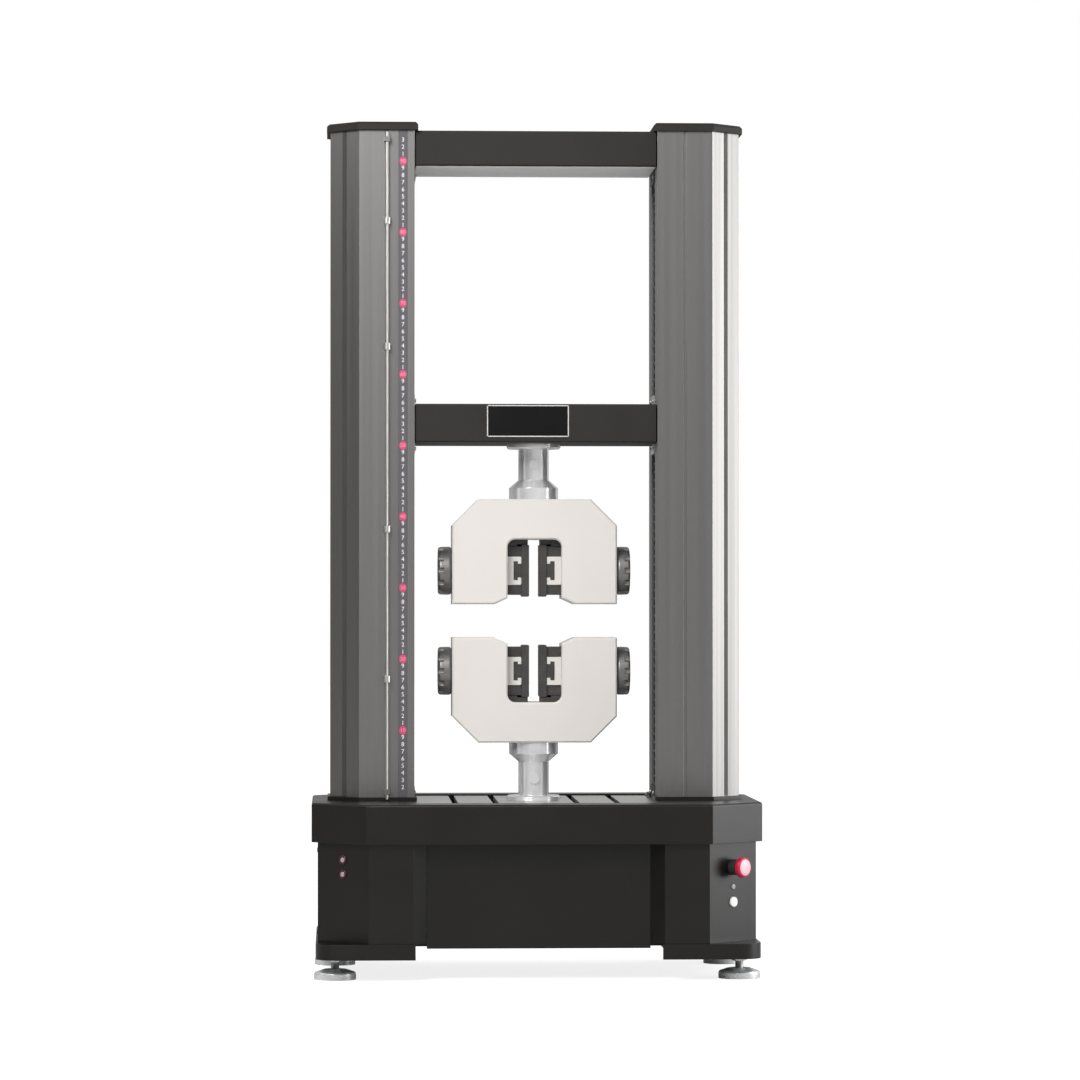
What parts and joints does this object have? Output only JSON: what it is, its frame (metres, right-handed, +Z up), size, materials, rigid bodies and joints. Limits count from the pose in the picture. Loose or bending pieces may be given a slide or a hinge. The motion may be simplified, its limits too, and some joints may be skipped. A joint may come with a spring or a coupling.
{
  "type": "universal testing machine",
  "caption": "Floor-standing twin-column universal testing machine with a screw-driven crosshead, load cell and facing vise grips.",
  "frame": {"origin": "on the floor, midway between the four levelling feet", "axes": "+Z up, +X to the operator's right, -Y towards the operator"},
  "size_m": [0.884, 0.564, 1.684],
  "materials": {
    "dark_paint": "fine textured powder coat, charcoal",
    "column_grey": "satin grey coated aluminium extrusion",
    "table_steel": "ground steel",
    "chrome": "polished",
    "bright_steel": "turned",
    "cream_paint": "smooth cream enamel",
    "dark_steel": "blackened tool steel",
    "knob_black": "satin black",
    "bellows_fabric": "coated fabric, folded",
    "belt_rubber": "toothed belt",
    "motor_black": "satin black",
    "black_plastic": "moulded",
    "red_plastic": "moulded, glossy",
    "white_plastic": "moulded, glossy",
    "lamp_lens": "tinted lens",
    "tape_print": "printed scale tape"
  },
  "bodies": {
    "machine_frame": {"base_frame": "dark_paint", "column_caps": "dark_paint", "deck_cover": "dark_paint", "drive_belt": "belt_rubber", "drive_controller": "motor_black", "estop_base": "black_plastic", "fixed_clamps": "black_plastic", "foot_lock_nuts": "chrome", "foot_pads": "chrome", "foot_studs": "chrome", "front_panel": "dark_paint", "guide_posts": "chrome", "lamps": "lamp_lens", "left_front_cover": "column_grey", "left_pedestal_cover": "dark_paint", "left_rear_cover": "column_grey", "lower_adapter": "chrome", "lower_bellows": "bellows_fabric", "lower_coupling_pin": "chrome", "lower_grip_body": "cream_paint", "power_inlet": "black_plastic", "rear_panel": "dark_paint", "right_front_cover": "column_grey", "right_pedestal_cover": "dark_paint", "right_rear_cover": "column_grey", "rod_guides": "black_plastic", "scale_tape": "tape_print", "screw_bearings": "bright_steel", "servo_motor": "motor_black", "table_plate": "table_steel", "top_beam": "dark_paint", "upper_bellows": "bellows_fabric"},
    "left_screw": {"left_ball_screw": "bright_steel"},
    "right_screw": {"right_ball_screw": "bright_steel"},
    "motor_rotor": {"motor_pulley": "bright_steel"},
    "crosshead": {"crosshead": "dark_paint", "ball_nuts": "bright_steel", "guide_bushes": "bright_steel", "load_cell": "bright_steel", "moving_clamps": "bright_steel", "upper_adapter": "chrome", "upper_coupling_pin": "chrome", "upper_grip_body": "cream_paint"},
    "limit_rod": {"limit_rod": "chrome"},
    "upper_stop": {"upper_stop": "chrome"},
    "lower_stop": {"lower_stop": "chrome"},
    "estop_button": {"estop_button": "red_plastic"},
    "start_button": {"start_button": "white_plastic"},
    "upper_left_jaw": {"upper_left_jaw_insert": "dark_steel", "upper_left_jaw_carrier": "cream_paint"},
    "upper_left_wheel": {"upper_left_handwheel": "knob_black"},
    "upper_right_jaw": {"upper_right_jaw_insert": "dark_steel", "upper_right_jaw_carrier": "cream_paint"},
    "upper_right_wheel": {"upper_right_handwheel": "knob_black"},
    "lower_left_jaw": {"lower_left_jaw_insert": "dark_steel", "lower_left_jaw_carrier": "cream_paint"},
    "lower_left_wheel": {"lower_left_handwheel": "knob_black"},
    "lower_right_jaw": {"lower_right_jaw_insert": "dark_steel", "lower_right_jaw_carrier": "cream_paint"},
    "lower_right_wheel": {"lower_right_handwheel": "knob_black"}
  },
  "joints": [
    {"name": "crosshead_travel", "type": "slide", "parent": "machine_frame", "child": "crosshead", "axis": [0, 0, 1], "range_m": [-0.058, 0.34], "deforming": ["upper_bellows", "lower_bellows"]},
    {"name": "left_screw_turn", "type": "hinge", "parent": "machine_frame", "child": "left_screw", "pos_m": [-0.29, 0, 0.3], "axis": [0, 0, 1], "range_deg": [-2090, 12242]},
    {"name": "right_screw_turn", "type": "hinge", "parent": "machine_frame", "child": "right_screw", "pos_m": [0.29, 0, 0.3], "axis": [0, 0, 1], "range_deg": [-2090, 12242]},
    {"name": "motor_turn", "type": "hinge", "parent": "machine_frame", "child": "motor_rotor", "pos_m": [0, 0.118, 0.2], "axis": [0, 0, 1], "range_deg": [-4180, 24484]},
    {"name": "upper_left_wheel_turn", "type": "hinge", "parent": "crosshead", "child": "upper_left_wheel", "pos_m": [-0.17, 0, 0.799], "axis": [1, 0, 0], "range_deg": [-576, 684]},
    {"name": "upper_left_jaw_slide", "type": "slide", "parent": "crosshead", "child": "upper_left_jaw", "axis": [1, 0, 0], "range_m": [-0.0081, 0.0096]},
    {"name": "upper_right_wheel_turn", "type": "hinge", "parent": "crosshead", "child": "upper_right_wheel", "pos_m": [0.17, 0, 0.799], "axis": [-1, 0, 0], "range_deg": [-576, 684]},
    {"name": "upper_right_jaw_slide", "type": "slide", "parent": "crosshead", "child": "upper_right_jaw", "axis": [-1, 0, 0], "range_m": [-0.0081, 0.0096]},
    {"name": "lower_left_wheel_turn", "type": "hinge", "parent": "machine_frame", "child": "lower_left_wheel", "pos_m": [-0.17, 0, 0.599], "axis": [1, 0, 0], "range_deg": [-576, 684]},
    {"name": "lower_left_jaw_slide", "type": "slide", "parent": "machine_frame", "child": "lower_left_jaw", "axis": [1, 0, 0], "range_m": [-0.0081, 0.0096]},
    {"name": "lower_right_wheel_turn", "type": "hinge", "parent": "machine_frame", "child": "lower_right_wheel", "pos_m": [0.17, 0, 0.599], "axis": [-1, 0, 0], "range_deg": [-576, 684]},
    {"name": "lower_right_jaw_slide", "type": "slide", "parent": "machine_frame", "child": "lower_right_jaw", "axis": [-1, 0, 0], "range_m": [-0.0081, 0.0096]},
    {"name": "limit_rod_travel", "type": "slide", "parent": "machine_frame", "child": "limit_rod", "axis": [0, 0, 1], "range_m": [-0.004, 0.004]},
    {"name": "upper_stop_slide", "type": "slide", "parent": "limit_rod", "child": "upper_stop", "axis": [0, 0, 1], "range_m": [-0.06, 0.06]},
    {"name": "lower_stop_slide", "type": "slide", "parent": "limit_rod", "child": "lower_stop", "axis": [0, 0, 1], "range_m": [-0.06, 0.06]},
    {"name": "estop_press", "type": "slide", "parent": "machine_frame", "child": "estop_button", "axis": [-0.7071, 0.7071, 0], "range_m": [0, 0.005], "stiffness_N_per_m": 800},
    {"name": "start_button_press", "type": "slide", "parent": "machine_frame", "child": "start_button", "axis": [-0.7071, 0.7071, 0], "range_m": [0, 0.0025], "stiffness_N_per_m": 400}
  ],
  "couplings": [
    {"joint": "left_screw_turn", "follows": "crosshead_travel", "rad_per_m": 628.32},
    {"joint": "right_screw_turn", "follows": "crosshead_travel", "rad_per_m": 628.32},
    {"joint": "motor_turn", "follows": "crosshead_travel", "rad_per_m": 1256.6},
    {"joint": "upper_left_jaw_slide", "follows": "upper_left_wheel_turn", "m_per_rad": 0.00079577},
    {"joint": "upper_right_jaw_slide", "follows": "upper_right_wheel_turn", "m_per_rad": 0.00079577},
    {"joint": "lower_left_jaw_slide", "follows": "lower_left_wheel_turn", "m_per_rad": 0.00079577},
    {"joint": "lower_right_jaw_slide", "follows": "lower_right_wheel_turn", "m_per_rad": 0.00079577}
  ]
}
